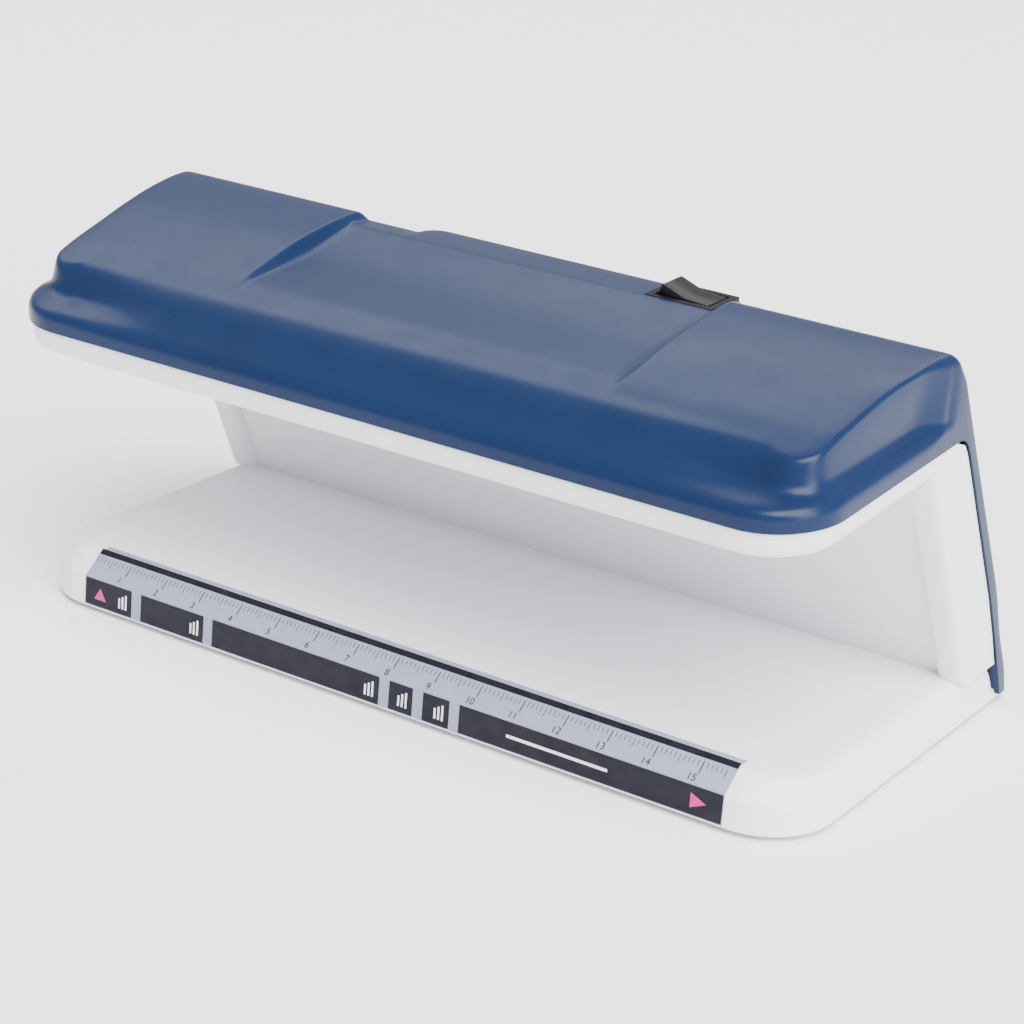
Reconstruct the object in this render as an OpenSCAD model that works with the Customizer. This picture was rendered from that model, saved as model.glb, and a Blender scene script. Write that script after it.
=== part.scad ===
// Counterfeit bill detector: a C-shaped counter-top lamp housing with a note bay,
// an ultraviolet tube in the hood, its driver in the column and a rocker switch on top.
// Design coordinates: X across, Y back from the base's front edge, Z up from the base's underside.

/* [Overall] */
// Width across the brim of the hood
unit_w = 187.6; // [184:0.2:192]
// Height of the hood's top above the base's underside
unit_h = 81.4; // [80.6:0.2:82.6]
// Distance that the brim stands out in front of the base
hood_overhang = 6.2; // [5:0.1:7]
// Wall thickness of the plastic mouldings
wall = 2; // [1.8:0.1:2.2]
// Gap between neighbouring mouldings
gap = 0.3; // [0.2:0.05:0.4]

/* [Base] */
// Width of the base
base_w = 186.4; // [184:0.2:187]
// Height of the note tray at its front edge
tray_front_h = 10.4; // [10:0.1:11]
// Height of the note tray where it meets the column
tray_back_h = 8.7; // [8.4:0.1:9.4]
// Height of the steep front face that carries the dark part of the label
front_face_h = 6.5; // [6:0.1:7]
// Depth of the sloping facet that carries the ruler
ruler_facet_d = 5; // [4.5:0.1:5.5]
// Plan radius of the two front corners
corner_r = 14; // [12:0.5:15]
// Length of the ruler label
label_l = 156.2; // [150:0.2:157]
// Height of the rubber feet
foot_h = 1.2; // [1:0.1:2]

/* [Column and hood] */
// Forward travel of the column's front wall for each millimetre of height
wall_slope = 0.42; // [0.40:0.01:0.44]
// Height of the hood's white underside at its front
underside_h = 56; // [55:0.2:57]
// Height of the brim's lower edge at its front
brim_h = 61.6; // [61:0.2:62.4]
// Rise of the hood's lower edges for each millimetre towards the back
hood_rise = 0.04; // [0.03:0.005:0.05]
// Width of the raised leg at each end of the column
leg_w = 7.6; // [6:0.2:9]
// Width of the shallow scoop in the hood's top
scoop_w = 88; // [80:1:92]

/* [Lamp] */
// Diameter of the lamp tube
tube_d = 16; // [15.5:0.1:16.2]
// Length of the lamp over its end caps
tube_l = 136; // [134:0.5:137]
// Distance between the two contact pins of a cap
pin_spacing = 5; // [4.5:0.1:5.2]

/* [Switch] */
// Length of the switch's bezel across the unit
switch_l = 15.2; // [14.6:0.1:15.6]
// Depth of the switch's bezel from front to back
switch_d = 10.4; // [10:0.1:10.6]
// Place of the switch across the unit
switch_x = 35.4; // [34:0.2:37]
// Tilt of the rocker each side of level
rocker_tilt = 12; // [9:0.5:12]

/* [Hidden] */
$fn = 48;

// Colours
blue = [0.09, 0.17, 0.36];
white = [0.93, 0.93, 0.95];
black = [0.05, 0.05, 0.06];
steel = [0.72, 0.73, 0.75];
brass = [0.80, 0.64, 0.30];

// Overall places worked out from the driving sizes
base_back = 81.8;
base_back_top = 79.5;
cover_back = 84.6;
middle_y = (cover_back - hood_overhang) / 2;
lean = atan(wall_slope);
back_top = [50.2, unit_h];
back_knee = [76, 25.4];
wall_foot_y = 67.4;
liner_half = unit_w / 2 - wall - 0.2;

function wall_y(z) = wall_foot_y - wall_slope * (z - tray_back_h);
function back_y(z) = back_top[0] + (unit_h - z) * (back_knee[0] - back_top[0]) / (unit_h - back_knee[1]);
function brim_z(y) = brim_h + hood_rise * (y + hood_overhang);
function underside_z(y) = underside_h + hood_rise * (y + hood_overhang);

// ---------- shape helpers ----------

function unit_vector(v) = v / norm(v);

// The arc that replaces the corner b of the path a-b-c, with radius r
function corner_arc(a, b, c, r, n = 6) =
    let (
        u = unit_vector(a - b),
        v = unit_vector(c - b),
        half = acos(max(-1, min(1, u * v))) / 2,
        reach = min(r / tan(half), norm(a - b) / 2, norm(c - b) / 2),
        radius = reach * tan(half),
        centre = b + unit_vector(u + v) * radius / sin(half),
        start = b + u * reach - centre,
        finish = b + v * reach - centre,
        turn = 180 - 2 * half
    )
    [for (i = [0:n]) centre + (start * sin(turn * (1 - i / n)) + finish * sin(turn * i / n)) / sin(turn)];

// A closed path of [y, z, radius] corners with each corner rounded
function rounded(path) =
    let (count = len(path))
    [for (i = [0:count - 1])
        let (
            a = path[(i + count - 1) % count],
            b = path[i],
            c = path[(i + 1) % count],
            corner = [b[0], b[1]]
        )
        each (b[2] > 0
            ? corner_arc([a[0], a[1]], corner, [c[0], c[1]], b[2])
            : [corner])];

// An open line of [y, z] points moved sideways by d, to the right of its direction
function moved_line(line, d) =
    let (last = len(line) - 1)
    [for (i = [0:last])
        let (
            before = i == 0 ? line[1] - line[0] : line[i] - line[i - 1],
            after = i == last ? before : line[i + 1] - line[i],
            p = unit_vector([before[1], -before[0]]),
            q = unit_vector([after[1], -after[0]])
        )
        line[i] + (p + q) * d / (1 + p * q)];

// Moves design coordinates to the part's own frame
module centred() {
    translate([0, -middle_y, foot_h]) children();
}

// A side outline of [y, z] points, extruded across the unit between two places in X
module across(outline, from_x, to_x) {
    translate([from_x, 0, 0])
        rotate([90, 0, 90])
            linear_extrude(height = to_x - from_x) polygon(outline);
}

// A plan outline with two rounded front corners, as a tall block
module plan_block(half_w, front, back, r, low, high) {
    translate([0, 0, low]) linear_extrude(height = high - low) {
        translate([-half_w, front + r]) square([2 * half_w, back - front - r]);
        translate([-half_w + r, front]) square([2 * (half_w - r), back - front]);
        for (side = [-1, 1])
            translate([side * (half_w - r), front + r]) circle(r = r, $fn = 64);
    }
}

// A block centred on the Z axis between two heights
module block(length, depth, low, high) {
    translate([-length / 2, -depth / 2, low]) cube([length, depth, high - low]);
}

// The outline of a strip of thickness t that follows an open line
function strip(line, t) = concat(line, [for (i = [len(line) - 1:-1:0]) moved_line(line, t)[i]]);

// A pan-head screw: head seated at the origin, shank up +Z
module screw(head_r, head_h, shank_r, shank_l) {
    difference() {
        translate([0, 0, -head_h]) cylinder(h = head_h, r = head_r);
        translate([0, 0, -head_h - 0.01]) {
            translate([-head_r * 0.6, -0.25, 0]) cube([head_r * 1.2, 0.5, head_h * 0.5]);
            translate([-0.25, -head_r * 0.6, 0]) cube([0.5, head_r * 1.2, head_h * 0.5]);
        }
    }
    cylinder(h = shank_l, r = shank_r);
}

// ---------- base ----------

base_half = base_w / 2;
base_screw_places = [[-80, 14], [80, 14], [-80, 52], [80, 52]];
column_screw_places = [[-84, 74.5], [0, 74.5], [84, 74.5]];
foot_places = [[-76, 24], [76, 24], [-76, 68], [76, 68]];
plate_t = 1.8;
shank_r = 1.2;
boss_r = 3.2;
head_r = 2.4;
head_h = 1.3;
foot_r = 5;

tray_rise = (tray_back_h - tray_front_h) / (wall_foot_y - ruler_facet_d);
function tray_z(y) = tray_front_h + tray_rise * (y - ruler_facet_d);

module base_tray() {
    outer = rounded([
        [0, 0, 0.4],
        [0.5, front_face_h, 0.5],
        [0.5 + ruler_facet_d, tray_front_h, 0.8],
        [base_back_top, tray_z(base_back_top), 0.6],
        [base_back - 0.9, front_face_h - 2, 3],
        [base_back, 0, 0.4]
    ]);
    hollow = [
        [wall, -1],
        [wall + 0.5, front_face_h - 0.9],
        [wall + ruler_facet_d - 0.6, tray_front_h - wall],
        [base_back_top - wall - 0.4, tray_z(base_back) - wall],
        [base_back - wall - 0.4, -1]
    ];
    color(white) centred() {
        difference() {
            intersection() {
                across(outer, -base_half, base_half);
                plan_block(base_half, 0, base_back, corner_r, -1, 20);
            }
            intersection() {
                across(hollow, wall - base_half, base_half - wall);
                plan_block(base_half - wall, wall, base_back, corner_r - wall, -2, 20);
            }
            for (place = column_screw_places)
                translate([place[0], place[1], 0]) cylinder(h = 20, r = shank_r + 0.2);
        }
        for (place = base_screw_places)
            translate([place[0], place[1], plate_t + 0.1]) difference() {
                cylinder(h = tray_z(place[1]) - plate_t - wall / 2, r = boss_r);
                translate([0, 0, -1]) cylinder(h = 5.2, r = shank_r + 0.05);
            }
    }
}

module base_plate() {
    edge = wall + gap;
    color([0.85, 0.85, 0.87]) centred() difference() {
        plan_block(base_half - edge, edge, base_back - edge - 1.4, corner_r - edge, 0, plate_t);
        for (place = concat(base_screw_places, column_screw_places))
            translate([place[0], place[1], -1]) {
                cylinder(h = plate_t + 2, r = shank_r + 0.2);
                cylinder(h = head_h - 0.2 + 1, r = head_r + 0.3);
            }
        for (place = foot_places)
            translate([place[0], place[1], -1]) cylinder(h = 1.5, r = foot_r + 0.1);
        for (row = [0:6])
            translate([-18, 34 + row * 3.4, -1]) cube([36, 1.4, plate_t + 2]);
    }
}

module base_screws() {
    color(steel) centred()
        for (place = base_screw_places)
            translate([place[0], place[1], head_h - 0.2]) screw(head_r, head_h - 0.2, shank_r, 4.2);
}

module column_screws() {
    color(steel) centred()
        for (place = column_screw_places)
            translate([place[0], place[1], head_h - 0.2]) screw(head_r, head_h - 0.2, shank_r, 13);
}

module feet() {
    color(black) centred()
        for (place = foot_places)
            translate([place[0], place[1], -foot_h]) {
                cylinder(h = 0.4, r = foot_r - 0.4);
                translate([0, 0, 0.4]) cylinder(h = foot_h + 0.1, r = foot_r);
            }
}

module scale_label() {
    film = 0.2;
    front = [[0, 0.5], [0.5, front_face_h], [0.5 + ruler_facet_d, tray_front_h], [8, tray_z(8)]];
    outside = moved_line(front, -film - 0.02);
    inside = moved_line(front, -0.02);
    color([0.75, 0.75, 0.85]) centred()
        across(concat(outside, [for (i = [3:-1:0]) inside[i]]), -label_l / 2, label_l / 2);
}

// ---------- hood and column ----------

outer_line = [
    [-hood_overhang, brim_h],
    [-hood_overhang, brim_h + 4],
    [1.2, brim_h + 6],
    [3.4, unit_h - 8.4],
    [12, unit_h - 5.8],
    [30, unit_h - 1.6],
    [44, unit_h],
    back_top,
    back_knee,
    [79.2, 15],
    [83.4, 6],
    [cover_back, 0.8]
];
outer_radii = [0.8, 2.5, 2, 5, 15, 30, 20, 3.5, 12, 8, 4, 0.3];
inner_line = [
    [cover_back - wall, 0.8],
    [79.6, 9.4],
    [75.2, 19.4],
    [54.9, brim_z(54.9)]
];
inner_radii = [0.3, 5, 12, 9];
body_inset = 3.4;
scoop_back = 48;
scoop_top = unit_h - 1.8;
pod_left = -30;
pod_right = 46;
pod_back = 55.6;
cover_boss_places = [[-83, 3.5], [83, 3.5], [-83, 40], [83, 40]];
jack_place = [60, 16.5];
jack_nose_r = 4.6;
jack_bore_r = 2.9;
jack_pin_r = 1.05;
switch_y = 50.3;
bezel_t = 1.3;
bezel_sink = 0.8;
switch_hole_l = switch_l - 1.6;
switch_hole_d = switch_d - 1.8;

cover_side = rounded(concat(
    [for (i = [0:len(outer_line) - 1]) concat(outer_line[i], [outer_radii[i]])],
    [for (i = [0:len(inner_line) - 1]) concat(inner_line[i], [inner_radii[i]])]
));

// The filled outer shape of the cover: a brim of full width and a body set in from its ends
module cover_outside() {
    half = unit_w / 2;
    brim = [[-10, 50], [-10, brim_h + 5], [48, brim_z(48) + 5], [60, 66], [95, 40], [95, -1], [30, -1]];
    intersection() {
        across(cover_side, -half, half);
        union() {
            intersection() {
                across(brim, -half, half);
                plan_block(half, -hood_overhang, 100, corner_r, -1, 100);
            }
            plan_block(half - body_inset, -hood_overhang, 100, corner_r, -1, 100);
        }
    }
    intersection() {
        across([[44, 60], [44, scoop_top], [pod_back - 1.5, scoop_top], [pod_back, scoop_top - 1.5],
            [pod_back, 60]], pod_left, pod_right);
        across([[40, 90], [40, 70], [back_y(69), 69], [70, 69], [70, 90]], pod_left, pod_right);
    }
}

// The hollow of the cover, open towards the liner
module cover_hollow() {
    inside = concat(
        [[wall - hood_overhang, underside_h]],
        moved_line(outer_line, wall),
        [[cover_back - wall, -1], [70, -1], [64, 20], [46, underside_h]]
    );
    half = unit_w / 2 - wall;
    intersection() {
        across(inside, -half, half);
        union() {
            intersection() {
                across([[-10, 40], [-10, brim_h + 3], [48, brim_z(48) + 3], [58, 63], [93, 36], [93, -2],
                    [30, -2]], -half, half);
                plan_block(half, wall - hood_overhang, 100, corner_r - wall, -2, 100);
            }
            plan_block(half - body_inset, wall - hood_overhang, 100, corner_r - wall, -2, 100);
        }
    }
    across([[40, 60], [40, scoop_top - wall], [pod_back - wall, scoop_top - wall],
        [pod_back - wall, 64]], pod_left + wall, pod_right - wall);
}

// What the shallow scoop takes off the hood's top
module scoop(lift) {
    across([[4, unit_h - 7.9 + lift], [scoop_back, scoop_top + lift], [70, scoop_top + lift],
        [70, unit_h + 10], [4, unit_h + 10]], -scoop_w / 2, scoop_w / 2);
}

module top_cover() {
    color(blue) centred() difference() {
        union() {
            difference() {
                cover_outside();
                scoop(0);
                difference() {
                    cover_hollow();
                    translate([0, 0, -wall]) scoop(0);
                }
            }
            for (place = cover_boss_places)
                intersection() {
                    translate([place[0], place[1], brim_h + 1]) cylinder(h = 30, r = boss_r);
                    cover_outside();
                }
        }
        for (place = cover_boss_places)
            translate([place[0], place[1], brim_h - 1]) cylinder(h = 8.2, r = shank_r + 0.05);
        translate([switch_x, switch_y, 0]) {
            block(switch_hole_l + 2 * gap, switch_hole_d + 2 * gap, 64, 94);
            block(switch_l + gap, switch_d + gap, scoop_top - bezel_sink, 94);
        }
        translate([jack_place[0], 60, jack_place[1]])
            rotate([-90, 0, 0]) cylinder(h = 40, r = jack_nose_r + gap);
    }
}

lamp_y = 27;
lamp_z = 65.2;
window_half = 78.4;
pad_z = 60;
pad_places = [-84, 84];

// One end wall of the column, in side view
column_side = [
    [wall_y(tray_back_h) - 2, tray_back_h + 0.1],
    [wall_y(59) - 2, 59],
    [wall_y(59) - 2, 63.6],
    [back_y(64) - wall - 0.8, 64],
    [back_y(26) - wall - 0.8, 26],
    [79.2 - wall - 0.8, 15.2],
    [80.4, tray_back_h + 0.1]
];

module inner_liner() {
    pan_front = wall - hood_overhang + 0.2;
    pan = [
        [pan_front, brim_h + 2],
        [pan_front, underside_h + 1.6],
        [pan_front + 1.6, underside_z(pan_front)],
        [50, underside_z(50)],
        [50, brim_h + 2]
    ];
    pan_hollow = [
        [pan_front + wall, 80],
        [pan_front + wall, underside_z(0) + wall],
        [wall_y(60), underside_z(46) + wall],
        [wall_y(60), 80]
    ];
    color(white) centred() difference() {
        union() {
            difference() {
                intersection() {
                    across(pan, -liner_half, liner_half);
                    plan_block(liner_half, pan_front, 60, corner_r - wall, 40, 80);
                }
                intersection() {
                    across(pan_hollow, wall - liner_half, liner_half - wall);
                    plan_block(liner_half - wall, pan_front + wall, 60, corner_r - 2 * wall, 40, 80);
                }
                translate([wall - liner_half, 47, 59.9]) cube([2 * (liner_half - wall), 10, 10]);
            }
            across([[wall_y(tray_back_h), tray_back_h + 0.1], [wall_y(59), 59],
                [wall_y(59) + 2.2, 59], [wall_y(tray_back_h) + 2.2, tray_back_h + 0.1]],
                -liner_half, liner_half);
            for (side = [-1, 1]) {
                across(column_side, side * liner_half - (side > 0 ? wall : 0),
                    side * liner_half + (side > 0 ? 0 : wall));
                across([[wall_y(tray_back_h) - 2, tray_back_h + 0.1], [wall_y(57.5) - 2, 57.5],
                    [wall_y(57.5) + 0.2, 57.5], [wall_y(tray_back_h) + 0.2, tray_back_h + 0.1]],
                    side > 0 ? liner_half - leg_w : -liner_half,
                    side > 0 ? liner_half : leg_w - liner_half);
            }
            for (x = pad_places)
                translate([x - 4, lamp_y - 6, underside_z(lamp_y) + 0.5]) cube([8, 12, pad_z - underside_z(lamp_y) - 0.5]);
            for (place = cover_boss_places)
                translate([place[0], place[1], underside_z(place[1]) + 0.5])
                    cylinder(h = brim_h + 0.8 - underside_z(place[1]) - 0.5, r = boss_r);
            for (place = column_screw_places)
                translate([place[0], place[1], tray_z(place[1]) + 0.1]) {
                    cylinder(h = 6.5, r = 2.8);
                    translate([-1, wall_foot_y + 1 - place[1], 0]) cube([2, place[1] - wall_foot_y - 2, 6.5]);
                }
            for (x = board_post_x)
                on_wall(x, board_z) translate([0, -0.3, 0]) rotate([-90, 0, 0]) cylinder(h = board_lift + 0.3, r = 2);
        }
        translate([-window_half, lamp_y - 11, 50]) cube([2 * window_half, 22, 12]);
        for (x = pad_places)
            translate([x, lamp_y, pad_z - 1.8]) cylinder(h = 3, r = 0.85);
        for (place = cover_boss_places)
            translate([place[0], place[1], 50]) {
                cylinder(h = 20, r = shank_r + 0.2);
                cylinder(h = underside_z(place[1]) - 50 + 1.2, r = head_r + 0.3);
            }
        for (place = column_screw_places)
            translate([place[0], place[1], 0]) cylinder(h = 14.4, r = shank_r + 0.05);
        for (x = board_post_x)
            on_wall(x, board_z) rotate([-90, 0, 0]) cylinder(h = 4, r = 0.85);
    }
}

module liner_screws() {
    color(steel) centred()
        for (place = cover_boss_places)
            translate([place[0], place[1], underside_z(place[1]) + 1.2]) screw(head_r, head_h - 0.2, shank_r, 9.5);
}

module reflector() {
    sheet = 0.4;
    line = [
        [lamp_y - 10.6, 60.4],
        [lamp_y - 8.1, lamp_z + 4.4],
        [lamp_y - 2, lamp_z + tube_d / 2 + 0.6],
        [lamp_y + 7, lamp_z + tube_d / 2 + 0.6],
        [lamp_y + 10.6, 60.6]
    ];
    other = moved_line(line, -sheet);
    color([0.80, 0.81, 0.84]) centred()
        across(concat(line, [for (i = [4:-1:0]) other[i]]), -66, 66);
}

// ---------- lamp ----------

cap_l = 8;
pin_r = 1.18;
pin_l = 7;
holder_in = tube_l / 2 + 0.4;
holder_out = 77.4;

module lamp_holder(side) {
    low = 59.4;
    color(white) centred() difference() {
        union() {
            mirror([side < 0 ? 1 : 0, 0, 0]) {
                translate([holder_in, lamp_y - 7.5, low]) cube([holder_out - holder_in, 15, lamp_z - low]);
                translate([holder_in, lamp_y, lamp_z])
                    rotate([0, 90, 0]) cylinder(h = holder_out - holder_in, r = 7.5);
                translate([holder_out - 1, lamp_y - 5, pad_z]) cube([88 - holder_out, 10, 1.6]);
            }
        }
        mirror([side < 0 ? 1 : 0, 0, 0]) {
            translate([holder_in - 1, lamp_y, lamp_z]) rotate([0, 90, 0]) cylinder(h = pin_l + 1.4, r = 4.3);
            translate([holder_in - 1, lamp_y - 1.7, low - 1]) cube([pin_l + 1.4, 3.4, lamp_z - low + 1]);
            translate([84, lamp_y, pad_z - 1]) cylinder(h = 4, r = 1.05);
        }
    }
}

module lamp_holder_left() {
    lamp_holder(-1);
}

module lamp_holder_right() {
    lamp_holder(1);
}

module holder_screws() {
    color(steel) centred()
        for (x = pad_places)
            translate([x, lamp_y, pad_z + 1.6]) mirror([0, 0, 1]) screw(1.7, 0.9, 0.8, 3);
}

module lamp_tube() {
    color([0.55, 0.50, 0.78]) centred()
        translate([0, lamp_y, lamp_z]) rotate([0, 90, 0]) difference() {
            cylinder(h = tube_l - 2 * cap_l, r = tube_d / 2 - 0.3, center = true, $fn = 64);
            cylinder(h = tube_l, r = tube_d / 2 - 1.1, center = true, $fn = 64);
        }
}

module lamp_cap(side) {
    color(steel) centred()
        translate([0, lamp_y, lamp_z]) mirror([side < 0 ? 1 : 0, 0, 0]) rotate([0, 90, 0])
            difference() {
                translate([0, 0, tube_l / 2 - cap_l]) cylinder(h = cap_l, r = tube_d / 2, $fn = 64);
                translate([0, 0, tube_l / 2 - cap_l - 1]) cylinder(h = cap_l - 0.5, r = tube_d / 2 - 0.5, $fn = 64);
                for (way = [-1, 1])
                    translate([0, way * pin_spacing / 2, 0]) cylinder(h = tube_l, r = pin_r);
            }
}

module lamp_cap_left() {
    lamp_cap(-1);
}

module lamp_cap_right() {
    lamp_cap(1);
}

module lamp_pins() {
    color(brass) centred()
        translate([0, lamp_y, lamp_z]) rotate([0, 90, 0])
            for (end = [-1, 1])
                for (way = [-1, 1])
                    translate([0, way * pin_spacing / 2, end > 0 ? tube_l / 2 - 4 : -tube_l / 2 - pin_l])
                        cylinder(h = pin_l + 4, r = pin_r);
}

// ---------- driver in the column ----------

board_z = 40;
board_lift = 1.6;
board_t = 1.2;
board_x = -30;
board_l = 66;
board_h = 24;
board_post_x = [board_x - board_l / 2 + 4, board_x + board_l / 2 - 4];

// A place on the back of the column's front wall: local Y points away from the wall
module on_wall(x, z) {
    translate([x, wall_y(z) + 2.2, z]) rotate([lean, 0, 0]) children();
}

module circuit_board() {
    color([0.10, 0.38, 0.22]) centred() difference() {
        on_wall(board_x, board_z)
            translate([-board_l / 2, board_lift, -board_h / 2]) cube([board_l, board_t, board_h]);
        for (x = board_post_x)
            on_wall(x, board_z) rotate([-90, 0, 0]) cylinder(h = 8, r = 1.1);
    }
}

module transformer() {
    color([0.20, 0.20, 0.22]) centred() on_wall(board_x + 6, board_z)
        translate([0, board_lift + board_t, 0]) {
            translate([-6.5, 0, -6.5]) cube([13, 0.8, 13]);
            translate([-6.5, 0.8, -6.5]) cube([13, 5, 3]);
            translate([-6.5, 0.8, 3.5]) cube([13, 5, 3]);
            translate([0, 3.3, -3.4]) cylinder(h = 6.8, r = 2.2);
        }
}

module capacitors() {
    color([0.16, 0.20, 0.42]) centred() on_wall(board_x, board_z)
        translate([0, board_lift + board_t, 0]) {
            translate([-18, 2.9, -6]) cylinder(h = 12, r = 2.8);
            translate([18.5, 0, -7]) cube([3, 5.4, 8]);
            translate([-12, 0, 4]) cube([7, 4.6, 2.8]);
        }
}

module transistors() {
    color(black) centred() on_wall(board_x, board_z)
        translate([0, board_lift + board_t, 0])
            for (z = [-9, -4])
                translate([-10, 0, z]) cube([4.6, 4.4, 3.4]);
}

module board_screws() {
    color(steel) centred()
        for (x = board_post_x)
            on_wall(x, board_z)
                translate([0, board_lift + board_t, 0]) rotate([90, 0, 0]) screw(1.7, 1, 0.8, 2.7);
}

jack_front = 68.6;
jack_back = 79.4;
jack_case_d = 5.6;

module power_jack() {
    color(black) centred() difference() {
        union() {
            translate([jack_place[0] - jack_nose_r, jack_front, jack_place[1] - jack_nose_r])
                cube([2 * jack_nose_r, jack_case_d, 2 * jack_nose_r]);
            translate([jack_place[0], jack_front, jack_place[1]])
                rotate([-90, 0, 0]) cylinder(h = jack_back - jack_front, r = jack_nose_r);
        }
        translate([jack_place[0], jack_front + 1.4, jack_place[1]])
            rotate([-90, 0, 0]) cylinder(h = 20, r = jack_bore_r);
        translate([jack_place[0], jack_front - 1, jack_place[1]])
            rotate([-90, 0, 0]) cylinder(h = 10, r = jack_pin_r);
    }
}

module jack_pin() {
    color(brass) centred()
        translate([jack_place[0], jack_front, jack_place[1]]) rotate([-90, 0, 0]) {
            cylinder(h = 8.6, r = jack_pin_r);
            translate([0, 0, 8.6]) sphere(r = jack_pin_r);
        }
}

// ---------- switch ----------

bezel_top = scoop_top + bezel_t - bezel_sink;
rocker_l = 11.8;
rocker_d = 7.2;
pivot_z = bezel_top - 1.5;
trunnion_r = 0.9;

module switch_body() {
    color(black) centred() difference() {
        union() {
            translate([switch_x, switch_y, 0]) {
                block(switch_l, switch_d, bezel_top - bezel_t, bezel_top);
                block(switch_hole_l, switch_hole_d, 69, bezel_top - 0.1);
            }
        }
        translate([switch_x, switch_y, 0])
            block(rocker_l + 2 * gap, rocker_d + 2 * gap, 73, 90);
        translate([switch_x, switch_y - 4.15, pivot_z])
            rotate([-90, 0, 0]) cylinder(h = 8.3, r = trunnion_r + 0.05);
    }
}

// The rocker stands at rest with its left end up
module rocker() {
    level = [
        [-rocker_l / 2 + 0.3, 0.4],
        [-rocker_l / 2 + 0.5, 2.6],
        [0, 1.8],
        [rocker_l / 2 - 0.5, 2.6],
        [rocker_l / 2 - 0.3, 0.4],
        [2.6, -3.4],
        [-2.6, -3.4]
    ];
    color(black) centred()
        translate([switch_x, switch_y, pivot_z]) {
            rotate([0, rocker_tilt, 0]) translate([0, rocker_d / 2, 0]) rotate([90, 0, 0])
                linear_extrude(height = rocker_d) polygon(level);
            rotate([90, 0, 0]) cylinder(h = 8.1, r = trunnion_r, center = true);
        }
}

module switch_terminals() {
    color(brass) centred()
        for (x = [-3.4, 3.4])
            translate([switch_x + x - 1.2, switch_y - 0.3, 63]) cube([2.4, 0.6, 6]);
}

// ---------- wiring ----------

// Flat two-core lead, laid edge to edge
lead_w = 2;
lead_t = 1;
lead_lift = 3.4;
board_end = board_x + board_l / 2 + gap;

// A lead laid along the back of the column's wall: local [x, height along the wall] points
module wall_lead(line) {
    on_wall(0, board_z) translate([0, lead_lift + lead_t, 0]) rotate([90, 0, 0])
        linear_extrude(height = lead_t) polygon(strip(line, lead_w));
}

module lamp_leads() {
    drop = [
        [lamp_y + 2, 67],
        [46.5, 67],
        [wall_y(57) + 7.4, 57],
        [wall_y(38) + 7.4, 38]
    ];
    left_end = board_x - board_l / 2 - gap;
    color([0.86, 0.86, 0.88]) centred() {
        for (side = [-1, 1])
            across(strip(drop, lead_t), side * 78.6 - lead_w / 2, side * 78.6 + lead_w / 2);
        wall_lead([[board_end, -1], [79.6, -1]]);
        wall_lead([[-79.6, -1], [left_end, -1]]);
    }
}

module switch_leads() {
    drop = [
        [switch_y - 0.5, 62.9],
        [switch_y + 2.4, 60],
        [wall_y(47) + 7.2, 47],
        [wall_y(45) + 7.2, 45]
    ];
    color([0.75, 0.12, 0.12]) centred() {
        for (x = [-3.4, 3.4])
            across(strip(drop, lead_t), switch_x + x - 0.8, switch_x + x + 0.8);
        wall_lead([[board_end, 6], [switch_x + 4.2, 7.5]]);
    }
}

module supply_leads() {
    color([0.10, 0.10, 0.12]) centred()
        wall_lead([[board_end, -6], [30, -12], [jack_place[0] - jack_nose_r - gap, -24]]);
}

base_tray();
base_plate();
base_screws();
column_screws();
feet();
scale_label();
inner_liner();
liner_screws();
top_cover();
reflector();
lamp_holder_left();
lamp_holder_right();
holder_screws();
lamp_tube();
lamp_cap_left();
lamp_cap_right();
lamp_pins();
circuit_board();
transformer();
capacitors();
transistors();
board_screws();
power_jack();
jack_pin();
switch_body();
rocker();
switch_terminals();
lamp_leads();
switch_leads();
supply_leads();
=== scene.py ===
"""Looks of a counter-top note checker: hood, column, base, switch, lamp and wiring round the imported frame.

Lengths in the piece classes are millimetres, measured from the base's front bottom edge (y back, z up).
Frame turns them into the frame's metres.
"""

import logging
import math
from dataclasses import dataclass, field
from enum import Enum
from typing import Any, Callable, Sequence

import bmesh
import bpy
from mathutils import Matrix, Vector


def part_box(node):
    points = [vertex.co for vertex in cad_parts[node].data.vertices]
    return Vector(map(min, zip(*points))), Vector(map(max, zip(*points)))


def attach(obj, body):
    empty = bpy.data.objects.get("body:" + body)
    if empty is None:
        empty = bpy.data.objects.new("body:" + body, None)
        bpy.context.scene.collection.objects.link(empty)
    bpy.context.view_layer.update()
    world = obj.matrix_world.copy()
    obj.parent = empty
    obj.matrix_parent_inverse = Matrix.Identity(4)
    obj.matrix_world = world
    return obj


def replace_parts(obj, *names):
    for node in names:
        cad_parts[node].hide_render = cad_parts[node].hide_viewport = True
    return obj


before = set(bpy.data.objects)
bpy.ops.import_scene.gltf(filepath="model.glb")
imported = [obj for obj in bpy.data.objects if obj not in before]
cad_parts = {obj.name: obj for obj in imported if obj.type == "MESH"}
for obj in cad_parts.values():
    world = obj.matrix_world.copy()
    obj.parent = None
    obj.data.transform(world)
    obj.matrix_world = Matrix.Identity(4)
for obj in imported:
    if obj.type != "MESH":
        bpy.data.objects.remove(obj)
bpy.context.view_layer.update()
LOG = logging.getLogger("note_checker")
MM = 0.001
MERGE = 3e-6
ROUND_SIDES = 16
MOULDED_CREASE = 38.0
FITTING_CREASE = 50.0
PRINT_CREASE = 30.0
ROUNDED_ABOVE = 32.0

Material = bpy.types.Material
Mesh = bmesh.types.BMesh
Piece = bpy.types.Object
Place = tuple[float, float]
Corner = tuple[float, float, float]


# ---------- shared frame and curve helpers ----------


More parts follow.
